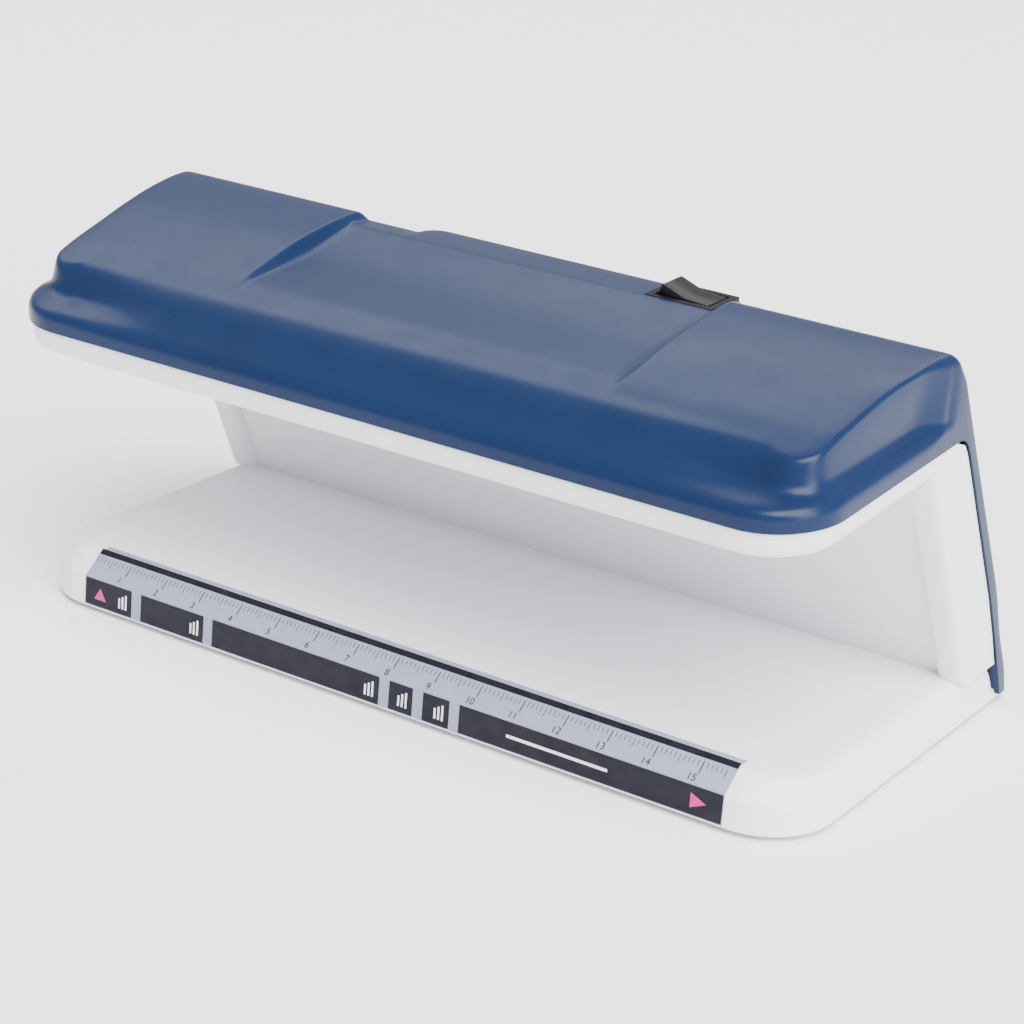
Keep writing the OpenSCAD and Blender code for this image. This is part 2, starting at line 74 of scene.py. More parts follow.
@dataclass(frozen=True)
class Frame:
    """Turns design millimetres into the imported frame's metres."""

    front_y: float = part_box("base_tray")[0].y
    base_z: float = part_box("base_tray")[0].z

    def point(self, x: float, y: float, z: float) -> Vector:
        """Returns the frame point of a design place."""
        return Vector((x * MM, self.front_y + y * MM, self.base_z + z * MM))

    def design(self, p: Vector) -> Vector:
        """Returns the design place of a frame point, in millimetres."""
        return Vector((p.x, p.y - self.front_y, p.z - self.base_z)) / MM


FRAME = Frame()


def smooth_step(low: float, high: float, value: float) -> float:
    """Returns 0 below low, 1 above high and a smooth ramp between."""
    share = min(1.0, max(0.0, (value - low) / (high - low)))
    return share * share * (3 - 2 * share)


def mix(a: Sequence[float], b: Sequence[float], share: float) -> tuple[float, ...]:
    """Returns the mix of two equally long tuples."""
    return tuple(p + (q - p) * share for p, q in zip(a, b))


def along(table: Sequence[Place], at: float) -> float:
    """Reads a table of (place, value) rows, between its two nearest rows.

    Args:
        table: the rows, by rising place.
        at: the place that is asked for.

    Returns:
        The value there.
    """
    for (start, low), (end, high) in zip(table, table[1:]):
        if at <= end:
            return low + (high - low) * max(0.0, (at - start) / (end - start))
    return table[-1][1]


def soft_path(corners: Sequence[Corner], turns: int = 5, spans: int = 2) -> list[Place]:
    """Rounds the corners of an open path, always with the same number of points.

    Args:
        corners: places with the reach of the rounding along both sides.
        turns: segments in each rounded corner.
        spans: points added in each straight stretch.

    Returns:
        The points of the softened path.
    """
    flat = [Vector(c[:2]) for c in corners]
    arcs: list[list[Vector]] = [[flat[0]]]
    for i in range(1, len(flat) - 1):
        before, here, after = flat[i - 1], flat[i], flat[i + 1]
        reach = max(0.04, corners[i][2])
        back = min(reach, (before - here).length * 0.48)
        ahead = min(reach, (after - here).length * 0.48)
        start = here + (before - here).normalized() * back
        end = here + (after - here).normalized() * ahead
        steps = [k / turns for k in range(turns + 1)]
        arcs.append([start * (1 - t) ** 2 + here * (2 * t * (1 - t)) + end * t * t for t in steps])
    arcs.append([flat[-1]])
    points: list[Place] = []
    for k, arc in enumerate(arcs):
        points += [tuple(p) for p in arc]
        if k + 1 < len(arcs):
            gap = arcs[k + 1][0] - arc[-1]
            points += [tuple(arc[-1] + gap * (n + 1) / (spans + 1)) for n in range(spans)]
    return points


def laid_grid(bm: Mesh, columns: int, rows: int, place: Callable[[int, int], Vector]) -> None:
    """Adds a grid of faces and lays each of its points.

    Args:
        bm: mesh that takes the grid.
        columns: points across.
        rows: points along.
        place: gives the frame point of a column and a row.
    """
    made = bmesh.ops.create_grid(bm, x_segments=columns - 1, y_segments=rows - 1, size=1.0)
    for vert in made["verts"]:
        i = round((vert.co.x + 1) / 2 * (columns - 1))
        j = round((vert.co.y + 1) / 2 * (rows - 1))
        vert.co = place(i, j)


def finish_mesh(bm: Mesh, name: str, material: Material) -> Piece:
    """Turns a mesh in the making into a smooth-shaded object with one finish.

    Args:
        bm: the mesh, which is freed.
        name: the new object's name.
        material: its finish.

    Returns:
        The new object.
    """
    mesh = bpy.data.meshes.new(name)
    bm.to_mesh(mesh)
    bm.free()
    mesh.materials.append(material)
    mesh.shade_smooth()
    piece = bpy.data.objects.new(name, mesh)
    bpy.context.scene.collection.objects.link(piece)
    return piece


def sharpen(piece: Piece, degrees: float) -> None:
    """Keeps edges above an angle crisp in the shading."""
    piece.data.set_sharp_from_angle(angle=math.radians(degrees))


def settle(piece: Piece) -> None:
    """Applies a piece's modifiers, so that a plain mesh is left.

    Args:
        piece: the piece that keeps only its mesh.
    """
    bpy.context.view_layer.update()
    graph = bpy.context.evaluated_depsgraph_get()
    mesh = bpy.data.meshes.new_from_object(piece.evaluated_get(graph))
    piece.modifiers.clear()
    old = piece.data
    piece.data = mesh
    mesh.name = piece.name
    bpy.data.meshes.remove(old)


def face_up(bm: Mesh, inside: Vector) -> None:
    """Turns an open sheet's faces outwards.

    Args:
        bm: the sheet's mesh.
        inside: a frame point that the faces turn away from.
    """
    bmesh.ops.recalc_face_normals(bm, faces=bm.faces)
    score = sum(f.normal.dot(f.calc_center_median() - inside) * f.calc_area() for f in bm.faces)
    if score < 0:
        bmesh.ops.reverse_faces(bm, faces=bm.faces)


def thicken(piece: Piece, wall: float) -> None:
    """Gives an open skin a wall on its inner side.

    Args:
        piece: the skin.
        wall: the wall's thickness in millimetres.
    """
    solid = piece.modifiers.new("wall", "SOLIDIFY")
    solid.thickness = wall * MM
    solid.offset = -1.0
    solid.use_rim = True


def walled(
    bm: Mesh, name: str, material: Material, wall: float, lowest: float = -math.inf
) -> Piece:
    """Turns an open skin into a finished moulding with a wall.

    Args:
        bm: the skin's mesh, which is freed.
        name: the new piece's name.
        material: its finish.
        wall: thickness in millimetres, on the inner side.
        lowest: height in metres that the wall's rim is trimmed to.

    Returns:
        The finished piece.
    """
    piece = finish_mesh(bm, name, material)
    thicken(piece, wall)
    settle(piece)
    for vert in piece.data.vertices:
        vert.co.z = max(vert.co.z, lowest)
    piece.data.shade_smooth()
    sharpen(piece, MOULDED_CREASE)
    return piece


def open_up(
    bm: Mesh, planes: Sequence[tuple[Vector, Vector]], inside: Callable[[Vector, float], bool]
) -> None:
    """Cuts a flat-sided opening in an open skin.

    Args:
        bm: the skin's mesh.
        planes: a frame point on each side of the opening, and that side's normal.
        inside: tells whether a design place is in the opening, grown by a margin in millimetres.
    """
    for at, normal in planes:
        near = [f for f in bm.faces if inside(FRAME.design(f.calc_center_median()), 4.0)]
        geom = near + list({e for f in near for e in f.edges}) + list({v for f in near for v in f.verts})
        bmesh.ops.bisect_plane(bm, geom=geom, plane_co=at, plane_no=normal, dist=1e-8)
    gone = [f for f in bm.faces if inside(FRAME.design(f.calc_center_median()), 0.0)]
    bmesh.ops.delete(bm, geom=gone, context="FACES")


def open_rectangle(bm: Mesh, low: Sequence[float], high: Sequence[float]) -> None:
    """Cuts an opening through the faces between two design corners, with sides along X and Y.

    Args:
        bm: the skin's mesh.
        low: lowest design corner.
        high: highest design corner.
    """
    def inside(p: Vector, margin: float) -> bool:
        """Tells whether a design place is between the two corners."""
        return (
            low[0] - margin < p.x < high[0] + margin and low[1] - margin < p.y < high[1] + margin
            and low[2] < p.z < high[2]
        )

    across, along_y = Vector((1, 0, 0)), Vector((0, 1, 0))
    open_up(bm, [(FRAME.point(*c), n) for c in (low, high) for n in (across, along_y)], inside)


def open_round(bm: Mesh, x: float, z: float, radius: float, from_y: float) -> None:
    """Cuts a round opening through the faces behind a place, seen along Y.

    Args:
        bm: the skin's mesh.
        x: its middle across the unit.
        z: its middle's height.
        radius: its radius.
        from_y: only faces behind this place are cut.
    """
    def inside(p: Vector, margin: float) -> bool:
        """Tells whether a design place is in the round opening."""
        return math.hypot(p.x - x, p.z - z) < radius + margin and p.y > from_y

    planes = []
    for k in range(ROUND_SIDES):
        turn = 2 * math.pi * k / ROUND_SIDES
        out = Vector((math.cos(turn), 0, math.sin(turn)))
        planes.append((FRAME.point(x, from_y, z) + out * radius * MM, out))
    open_up(bm, planes, inside)


def add_prism(bm: Mesh, outline: Sequence[Place], from_x: float, to_x: float) -> None:
    """Adds a side outline of (y, z) points, extruded across the unit.

    Args:
        bm: mesh that takes the prism.
        outline: its corners in order.
        from_x: where it starts across the unit.
        to_x: where it ends.
    """
    face = bm.faces.new([bm.verts.new(FRAME.point(from_x, y, z)) for y, z in outline])
    made = bmesh.ops.extrude_face_region(bm, geom=[face])["geom"]
    moved = [g for g in made if isinstance(g, bmesh.types.BMVert)]
    bmesh.ops.translate(bm, vec=Vector(((to_x - from_x) * MM, 0, 0)), verts=moved)


def refined_copy(node: str, name: str, material: Material, bevel: float) -> Piece:
    """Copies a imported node's mesh, joins its loose faces and rounds its sharp edges.

    Args:
        node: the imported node.
        name: the new piece's name.
        material: its finish.
        bevel: rounding in millimetres.

    Returns:
        The new piece.
    """
    bm = bmesh.new()
    bm.from_mesh(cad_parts[node].data)
    bmesh.ops.remove_doubles(bm, verts=bm.verts, dist=2e-6)
    bmesh.ops.dissolve_limit(bm, angle_limit=math.radians(1.0), verts=bm.verts, edges=bm.edges)
    least = math.radians(ROUNDED_ABOVE)
    sharp = [e for e in bm.edges if len(e.link_faces) == 2 and e.calc_face_angle(0) > least]
    bmesh.ops.bevel(
        bm, geom=sharp, offset=bevel * MM, segments=3, affect="EDGES", profile=0.5, material=-1,
        clamp_overlap=True,
    )
    piece = finish_mesh(bm, name, material)
    sharpen(piece, FITTING_CREASE)
    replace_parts(piece, node)
    return piece


def seat(piece: Piece, body: str) -> Piece:
    """Rides a piece on a body and reports it.

    Args:
        piece: the piece.
        body: the body that it moves with.

    Returns:
        The same piece.
    """
    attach(piece, body)
    LOG.info("%s: %d faces on %s", piece.name, len(piece.data.polygons), body)
    return piece


# ---------- finishes ----------


class Grain(Enum):
    """How a moulded surface's fine texture looks."""

    SMOOTH = (900.0, 0.002)
    SPARK = (1500.0, 0.06)
    SOFT = (700.0, 0.03)


class Nodes:
    """A material in the making, with short calls for its nodes."""

    def __init__(self, name: str) -> None:
        """Starts a material with its own shader and object coordinates.

        Args:
            name: the material's name.
        """
        self.material = bpy.data.materials.new(name)
        self.material.use_nodes = True
        self.tree = self.material.node_tree
        self.shader = self.tree.nodes["Principled BSDF"]
        self.coordinates = self.tree.nodes.new("ShaderNodeTexCoord").outputs["Object"]

    def link(self, source: bpy.types.NodeSocket, target: bpy.types.NodeSocket) -> None:
        """Links two sockets."""
        self.tree.links.new(source, target)

    def noise(
        self, scale: float, detail: float = 2.0, stretch: Vector | None = None
    ) -> bpy.types.NodeSocket:
        """Returns a noise pattern on object coordinates.

        Args:
            scale: its scale.
            detail: its octaves.
            stretch: scale along each axis, where it isn't even.

        Returns:
            The pattern's value socket.
        """
        node = self.tree.nodes.new("ShaderNodeTexNoise")
        node.inputs["Scale"].default_value = scale
        node.inputs["Detail"].default_value = detail
        source = self.coordinates
        if stretch is not None:
            mapping = self.tree.nodes.new("ShaderNodeMapping")
            mapping.inputs["Scale"].default_value = stretch
            self.link(self.coordinates, mapping.inputs["Vector"])
            source = mapping.outputs["Vector"]
        self.link(source, node.inputs["Vector"])
        return node.outputs["Fac"]

    def ramp(self, value: bpy.types.NodeSocket, low: float, high: float) -> bpy.types.NodeSocket:
        """Spreads a noise pattern's middle part between two values.

        Args:
            value: the pattern's socket.
            low: what its dark patches give.
            high: what its bright patches give.

        Returns:
            The spread value's socket.
        """
        node = self.tree.nodes.new("ShaderNodeMapRange")
        node.inputs["From Min"].default_value = 0.3
        node.inputs["From Max"].default_value = 0.7
        node.inputs["To Min"].default_value = low
        node.inputs["To Max"].default_value = high
        self.link(value, node.inputs["Value"])
        return node.outputs["Result"]

    def tint(
        self, value: bpy.types.NodeSocket, first: Sequence[float], second: Sequence[float]
    ) -> bpy.types.NodeSocket:
        """Mixes two colours.

        Args:
            value: socket that gives the share of the second colour.
            first: the first colour.
            second: the second colour.

        Returns:
            The mixed colour's socket.
        """
        node = self.tree.nodes.new("ShaderNodeMix")
        node.data_type = "RGBA"
        node.inputs["A"].default_value = (*first[:3], 1)
        node.inputs["B"].default_value = (*second[:3], 1)
        self.link(value, node.inputs["Factor"])
        return node.outputs["Result"]

    def bump(self, value: bpy.types.NodeSocket, height: float, strength: float = 1.0) -> None:
        """Adds a bump to the shader.

        Args:
            value: socket of the pattern that is raised.
            height: its height in metres.
            strength: how strongly it tilts the shading.
        """
        node = self.tree.nodes.new("ShaderNodeBump")
        node.inputs["Distance"].default_value = height
        node.inputs["Strength"].default_value = strength
        self.link(value, node.inputs["Height"])
        self.link(node.outputs["Normal"], self.shader.inputs["Normal"])


@dataclass(frozen=True)
class Moulded:
    """A moulded plastic or rubber with a slight mottle and a fine grain."""

    name: str
    colour: tuple[float, float, float]
    shade: float = 0.94
    rough: float = 0.35
    spread: float = 0.05
    grain: Grain = Grain.SOFT
    coat: float = 0.0
    scatter: float = 0.0
    specular: float = 0.5

    def build(self) -> Material:
        """Builds the finish.

        Returns:
            Its material.
        """
        nodes = Nodes(self.name)
        mottle = nodes.ramp(nodes.noise(38.0, 3.0), 0.0, 1.0)
        darker = tuple(c * self.shade for c in self.colour)
        nodes.link(nodes.tint(mottle, self.colour, darker), nodes.shader.inputs["Base Color"])
        wear = nodes.ramp(nodes.noise(120.0, 4.0), self.rough - self.spread, self.rough + self.spread)
        nodes.link(wear, nodes.shader.inputs["Roughness"])
        scale, strength = self.grain.value
        nodes.bump(nodes.noise(scale, 2.0), 0.0002, strength)
        nodes.shader.inputs["Specular IOR Level"].default_value = self.specular
        nodes.shader.inputs["Coat Weight"].default_value = self.coat
        nodes.shader.inputs["Coat Roughness"].default_value = 0.12
        if self.scatter > 0:
            nodes.shader.inputs["Subsurface Weight"].default_value = self.scatter
            nodes.shader.inputs["Subsurface Radius"].default_value = (0.004, 0.004, 0.0045)
            nodes.shader.inputs["Subsurface Scale"].default_value = 0.5
        return nodes.material


@dataclass(frozen=True)
class Metal:
    """A plain, plated or rolled metal with fine drawn lines along one axis."""

    name: str
    colour: tuple[float, float, float]
    rough: float = 0.28
    stretch: tuple[float, float, float] = (1.0, 1.0, 1.0)

    def build(self) -> Material:
        """Builds the finish.

        Returns:
            Its material.
        """
        nodes = Nodes(self.name)
        lines = nodes.noise(420.0, 3.0, Vector(self.stretch))
        worn = tuple(c * 0.82 for c in self.colour)
        drawn = nodes.tint(nodes.ramp(lines, 0.0, 1.0), self.colour, worn)
        nodes.link(drawn, nodes.shader.inputs["Base Color"])
        nodes.shader.inputs["Metallic"].default_value = 1.0
        nodes.link(nodes.ramp(lines, self.rough - 0.08, self.rough + 0.1), nodes.shader.inputs["Roughness"])
        nodes.bump(lines, 0.00005, 0.25)
        return nodes.material


@dataclass(frozen=True)
class TubeGlass:
    """The lamp's milky violet coated glass."""

    name: str = "coated_tube_glass"
    colour: tuple[float, float, float] = (0.42, 0.38, 0.72)

    def build(self) -> Material:
        """Builds the finish.

        Returns:
            Its material.
        """
        nodes = Nodes(self.name)
        cloud = nodes.ramp(nodes.noise(60.0, 3.0, Vector((0.2, 1.0, 1.0))), 0.0, 1.0)
        pale = tuple(min(1.0, c * 1.3) for c in self.colour)
        nodes.link(nodes.tint(cloud, self.colour, pale), nodes.shader.inputs["Base Color"])
        nodes.link(nodes.ramp(nodes.noise(200.0), 0.06, 0.14), nodes.shader.inputs["Roughness"])
        nodes.shader.inputs["Coat Weight"].default_value = 0.6
        nodes.shader.inputs["Coat Roughness"].default_value = 0.05
        return nodes.material


@dataclass(frozen=True)
class Printed:
    """Ink or film with a slight unevenness of print."""

    name: str
    colour: tuple[float, float, float]
    rough: float = 0.3
    specular: float = 0.15

    def build(self) -> Material:
        """Builds the finish.

        Returns:
            Its material.
        """
        nodes = Nodes(self.name)
        patches = nodes.ramp(nodes.noise(260.0, 4.0), 0.0, 1.0)
        faded = tuple(min(1.0, c * 0.93 + 0.006) for c in self.colour)
        nodes.link(nodes.tint(patches, self.colour, faded), nodes.shader.inputs["Base Color"])
        nodes.shader.inputs["Specular IOR Level"].default_value = self.specular
        film = nodes.ramp(nodes.noise(90.0, 2.0), self.rough - 0.06, self.rough + 0.06)
        nodes.link(film, nodes.shader.inputs["Roughness"])
        nodes.bump(nodes.noise(500.0, 2.0), 0.00003, 0.2)
        return nodes.material


def look(finish: Moulded | Metal | TubeGlass | Printed) -> Any:
    """Returns a dataclass field that makes the finish's material when the finishes are made."""
    return field(default_factory=finish.build)


@dataclass
class Finishes:
    """Every finish of the unit, made once."""

    blue: Material = look(
        Moulded("blue_satin_plastic", (0.005, 0.016, 0.056), 0.9, 0.3, 0.03, Grain.SMOOTH, specular=0.2)
    )
    white: Material = look(
        Moulded("white_satin_plastic", (0.84, 0.84, 0.875), 0.985, 0.42, 0.04, Grain.SOFT, 0.05, 0.06)
    )
    grey_white: Material = look(
        Moulded("off_white_matt_plastic", (0.72, 0.72, 0.75), 0.96, 0.6, 0.06, Grain.SPARK)
    )
    black: Material = look(
        Moulded("black_fine_plastic", (0.008, 0.008, 0.010), 0.85, 0.42, 0.06, Grain.SPARK, specular=0.1)
    )
    gloss_black: Material = look(
        Moulded("black_gloss_plastic", (0.006, 0.006, 0.008), 0.85, 0.22, 0.04, Grain.SMOOTH, specular=0.12)
    )
    rubber: Material = look(Moulded("black_rubber", (0.02, 0.02, 0.021), 0.8, 0.8, 0.06, Grain.SPARK))
    steel: Material = look(Metal("zinc_plated_steel", (0.62, 0.63, 0.66)))
    brass: Material = look(Metal("plain_brass", (0.72, 0.52, 0.22)))
    sheet: Material = look(Metal("rolled_aluminium", (0.80, 0.81, 0.84), 0.22, (0.02, 1.0, 1.0)))
    cap: Material = look(Metal("drawn_aluminium", (0.74, 0.74, 0.77), 0.3, (1.0, 0.1, 0.1)))
    glass: Material = look(TubeGlass())
    holder: Material = look(Moulded("holder_plastic", (0.78, 0.78, 0.75), 0.96, 0.4, 0.05, Grain.SOFT))
    board: Material = look(Moulded("solder_mask", (0.02, 0.16, 0.06), 0.75, 0.3, 0.06, Grain.SOFT, 0.3))
    ferrite: Material = look(Moulded("ferrite_and_tape", (0.05, 0.05, 0.055), 0.7, 0.6, 0.08, Grain.SPARK))
    sleeve: Material = look(Moulded("capacitor_sleeve", (0.03, 0.05, 0.19), 0.85, 0.3, 0.05, Grain.SMOOTH))
    white_wire: Material = look(
        Moulded("white_insulation", (0.75, 0.75, 0.77), 0.95, 0.45, 0.05, Grain.SOFT)
    )
    red_wire: Material = look(Moulded("red_insulation", (0.42, 0.02, 0.02), 0.9, 0.45, 0.05, Grain.SOFT))
    film: Material = look(Printed("silver_lilac_film", (0.27, 0.29, 0.38), 0.32))
    dark_ink: Material = look(Printed("dark_ink", (0.006, 0.006, 0.013), 0.32))
    white_ink: Material = look(Printed("white_ink", (0.82, 0.82, 0.86), 0.4))
    magenta_ink: Material = look(Printed("magenta_ink", (0.55, 0.035, 0.20), 0.35))


# ---------- swept shells ----------


@dataclass
class Skirt:
    """A skin with a U-shaped plan: a front, two rounded corners and two ends, swept from side sections.

    The middle is a roof that follows a side path, which may change across the unit.
    """

    half: float
    front: float
    corner: float
    columns: list[float]
    turns: int = 5
    spans: int = 2
    arc_steps: int = 12
    fall: float = 0.0

    def front_section(self, x: float) -> list[Corner]:
        """Returns the (inset, height, reach) corners of the front's section at x."""
        raise NotImplementedError

    def end_section(self, station: int, reach: float) -> list[Corner]:
        """Returns the (inset, distance, reach) corners of an end's section, whose full height is reach."""
        raise NotImplementedError

    def roof(self, x: float) -> list[Place]:
        """Returns the roof's side path at x."""
        raise NotImplementedError

    def edge(self) -> list[Place]:
        """Returns the side path of an end's lower edge, with as many points as the roof's."""
        raise NotImplementedError

    def end_points(self, side: int, station: int, roof: list[Place], edge: list[Place]) -> list[Vector]:
        """Returns the frame points of one end section.

        Args:
            side: -1 for the left end and 1 for the right.
            station: index along the roof's path.
            roof: the roof's path at that end.
            edge: the lower edge's path.

        Returns:
            Its points from the lower edge to the roof.
        """
        low, high = Vector(edge[station]), Vector(roof[station])
        rise = high - low
        full = max(rise.length, 1e-6)
        section = soft_path(self.end_section(station, full), self.turns, self.spans)
        points = []
        for inset, distance in section:
            at = low + rise * (distance / full)
            points.append(FRAME.point(side * (self.half - inset), at.x, at.y))
        return points

    def arc_points(self, side: int, share: float, edge_z: float, roof_z: float) -> list[Vector]:
        """Returns the frame points of a section on a plan corner.

        Args:
            side: -1 for the left corner and 1 for the right.
            share: 0 at the front and 1 at the end.
            edge_z: height of the end's lower edge where the corner starts.
            roof_z: height of the roof there.

        Returns:
            Its points from the lower edge to the roof.
        """
        ahead = self.front_section(side * self.columns[-1])
        way = math.copysign(1.0, roof_z - edge_z)
        aside = [(t, edge_z + way * d, r) for t, d, r in self.end_section(0, abs(roof_z - edge_z))]
        blended = [mix(a, b, smooth_step(0, 1, share)) for a, b in zip(ahead, aside)]
        angle = share * math.pi / 2
        if self.fall > 0:
            inset, _, reach = blended[-2]
            blended[-2] = (inset, roof_z - self.fall * (self.corner - inset) * math.cos(angle), reach)
        points = []
        for inset, height in soft_path(blended, self.turns, self.spans):
            radius = self.corner - inset
            x = self.half - self.corner + radius * math.sin(angle)
            y = self.front + self.corner - radius * math.cos(angle)
            points.append(FRAME.point(side * x, y, height))
        return points

    def skin(self, inside: Vector) -> Mesh:
        """Builds the open skin, its faces turned away from an inner point.

        Args:
            inside: a frame point inside the skin.

        Returns:
            The mesh in the making.
        """
        bm = bmesh.new()
        edge = self.edge()
        ends = {side: self.roof(side * self.columns[-1]) for side in (-1, 1)}
        stations = len(edge)
        rings: list[list[Vector]] = []
        for side in (-1, 1):
            sections = [self.end_points(side, k, ends[side], edge) for k in range(stations)]
            shares = [n / self.arc_steps for n in range(1, self.arc_steps)]
            arcs = [self.arc_points(side, s, edge[0][1], ends[side][0][1]) for s in reversed(shares)]
            if side < 0:
                rings += list(reversed(sections)) + arcs
                for x in self.columns:
                    section = soft_path(self.front_section(x), self.turns, self.spans)
                    rings.append([FRAME.point(x, self.front + t, z) for t, z in section])
            else:
                rings += list(reversed(arcs)) + sections
        laid_grid(bm, len(rings), len(rings[0]), lambda i, j: rings[i][j])
        paths = [self.roof(x) for x in self.columns]
        laid_grid(
            bm, len(self.columns), stations,
            lambda i, j: FRAME.point(self.columns[i], *paths[i][j]),
        )
        bmesh.ops.remove_doubles(bm, verts=bm.verts, dist=MERGE)
        bmesh.ops.dissolve_degenerate(bm, edges=bm.edges, dist=1e-7)
        face_up(bm, inside)
        return bm


def even_columns(half: float, step: float, dense: Sequence[Place] = ()) -> list[float]:
    """Returns places across the unit, closer together in the dense stretches.

    Args:
        half: the last place each way.
        step: the usual distance.
        dense: (from, to) stretches that are divided finely.

    Returns:
        The places from left to right.
    """
    count = round(2 * half / step)
    places = {round(-half + 2 * half * n / count, 4) for n in range(count + 1)}
    for start, end in dense:
        places = {p for p in places if not start - 0.5 < p < end + 0.5 or abs(p) == half}
        places |= {round(start + (end - start) * n / 10, 4) for n in range(11)}
    return sorted(places)


@dataclass
class HoodCover(Skirt):
    """The blue cover: brim, flange, body with its scoop and switch pod, back and the ends' edges."""

    half: float = 93.8
    front: float = -6.2
    corner: float = 14.0
    columns: list[float] = field(
        default_factory=lambda: even_columns(79.8, 2.6, [(-45.2, -43.2), (-30.4, -26.0), (43.2, 45.2)])
    )
    wall: float = 2.0
    fall: float = 0.302
    body_inset: float = 3.4
    crease_insets: tuple[Place, ...] = ((8, 4.6), (20, 4.0), (30, 3.3), (40, 2.1), (47, 0.9), (51.5, 0.2))
    top_above: float = 70.0
    widening: Place = (36.0, 51.5)
    brim_z: float = 61.6
    rise: float = 0.04
    scoop_half: float = 44.2
    pod_left: float = -30.4
    pod_round: float = 4.4
    jack: tuple[float, float] = (60.0, 16.5)
    jack_r: float = 4.8
    switch: tuple[float, float, float, float] = (35.4, 50.3, 13.9, 8.9)

    def brim(self, y: float) -> float:
        """Returns the height of the brim's lower edge at y."""
        return self.brim_z + self.rise * (y - self.front)

    def front_section(self, x: float) -> list[Corner]:
        """Lays out the brim, flange and front wall: crisp near the ends, softer in the middle.

        Args:
            x: place across the unit.

        Returns:
            The section's (inset, height, reach) corners.
        """
        crisp = smooth_step(52, 82, abs(x))
        rim = mix((0, 65.0, 2.6), (0, 65.5, 2.1), crisp)
        flange = mix((4.2, 68.4, 4.0), (7.4, 67.3, 1.6), crisp)
        shoulder = mix((9.2, 73.2, 5.0), (9.5, 73.0, 2.6), crisp)
        return [(0, 61.6, 0), rim, flange, shoulder, (14, 74.33, 0)]

    def end_section(self, station: int, reach: float) -> list[Corner]:
        """Lays out the brim edge, the flange and the end wall, which is as wide as the brim at the back.

        Args:
            station: index along the roof's path.
            reach: the section's full height.

        Returns:
            The section's (inset, distance, reach) corners.
        """
        y, z = self.roof(self.columns[-1])[station]
        on_top = z > self.top_above
        back = smooth_step(*self.widening, y) if on_top else 1.0
        inset = self.body_inset * (1 - back)
        top_inset = along(self.crease_insets, y) if on_top else self.crease_insets[-1][1]
        edge_h = min(3.9, reach * 0.4)
        flange_h = min(5.6, reach * 0.6)
        crease = min(0.9 + 2.1 * back, reach * 0.35)
        return [
            (0, 0, 0),
            (0.02, edge_h, 1.9 * (1 - back) + 0.3 * back),
            (inset + 0.05, flange_h, 1.7 * (1 - back) + 0.3 * back),
            (top_inset, reach, crease),
            (14, reach, 0),
        ]

    def edge(self) -> list[Place]:
        """Lays out the lower edge from the front's corner to the back's foot.

        Returns:
            The points of its side path.
        """
        def on_column(z: float) -> float:
            """Returns how far back the edge runs down the column at a height."""
            return 54.9 + (64.04 - z) * 0.455

        corners = [
            (7.8, self.brim(7.8), 0), (14, self.brim(14), 2), (31, self.brim(31), 4),
            (42, self.brim(42), 2), (48, self.brim(48), 1), (54.9, self.brim(54.9), 5.5),
            (on_column(55.5), 55.5, 2), (on_column(25.4), 25.4, 3), (76.5, 15, 2),
            (79.6, 6.4, 2), (81.4, 0.8, 0),
        ]
        return soft_path(corners, self.turns, self.spans)

    def roof(self, x: float) -> list[Place]:
        """Lays out the top and the back: plain ends, a hollow and the switch's pod.

        Args:
            x: place across the unit.

        Returns:
            The points of the side path there.
        """
        plain = [
            (7.8, 74.33, 0), (12, 75.6, 2), (30, 79.8, 5), (44, 81.4, 4), (50.2, 81.4, 2.6),
            (51.72, 78.1, 1), (55.6, 69.7, 1.5), (76, 25.4, 3), (79.2, 15, 2.5), (83.4, 6, 2),
            (84.5, 0.8, 0),
        ]
        scoop = [
            plain[0], (12, 75.35, 2), (30, 77.1, 5), (44.6, 80.0, 0.8), (51.0, 79.5, 1.2),
            (51.72, 78.1, 0.5), *plain[6:],
        ]
        pod = [*scoop[:4], (55.6, 79.4, 1.2), (55.6, 77.6, 0.8), (55.6, 69.7, 1.5), *plain[7:]]
        inside = 1 - smooth_step(self.scoop_half - 1.0, self.scoop_half + 1.0, abs(x))
        left = self.pod_left + self.pod_round
        out = 1.0 if x >= left else math.sqrt(max(0.0, 1 - ((left - x) / self.pod_round) ** 2))
        dropped = [mix(a, b, out) for a, b in zip(scoop, pod)]
        if inside > 0.5 or x > 0:
            kept = [mix(a, b, inside) for a, b in zip(plain, dropped)]
        else:
            kept = [mix(a, b, inside) for a, b in zip(plain, scoop)]
        return soft_path(kept, self.turns, self.spans)

    def build(self, finishes: Finishes) -> Piece:
        """Builds the cover with its wall, switch opening and jack hole.

        Args:
            finishes: the unit's finishes.

        Returns:
            The finished cover.
        """
        bm = self.skin(FRAME.point(0, 35, 40))
        x, y, length, depth = self.switch
        open_rectangle(bm, (x - length / 2, y - depth / 2, 70), (x + length / 2, y + depth / 2, 90))
        open_round(bm, *self.jack, self.jack_r, 70)
        piece = walled(bm, "hood_cover", finishes.blue, self.wall)
        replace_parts(piece, "top_cover")
        return seat(piece, "housing")


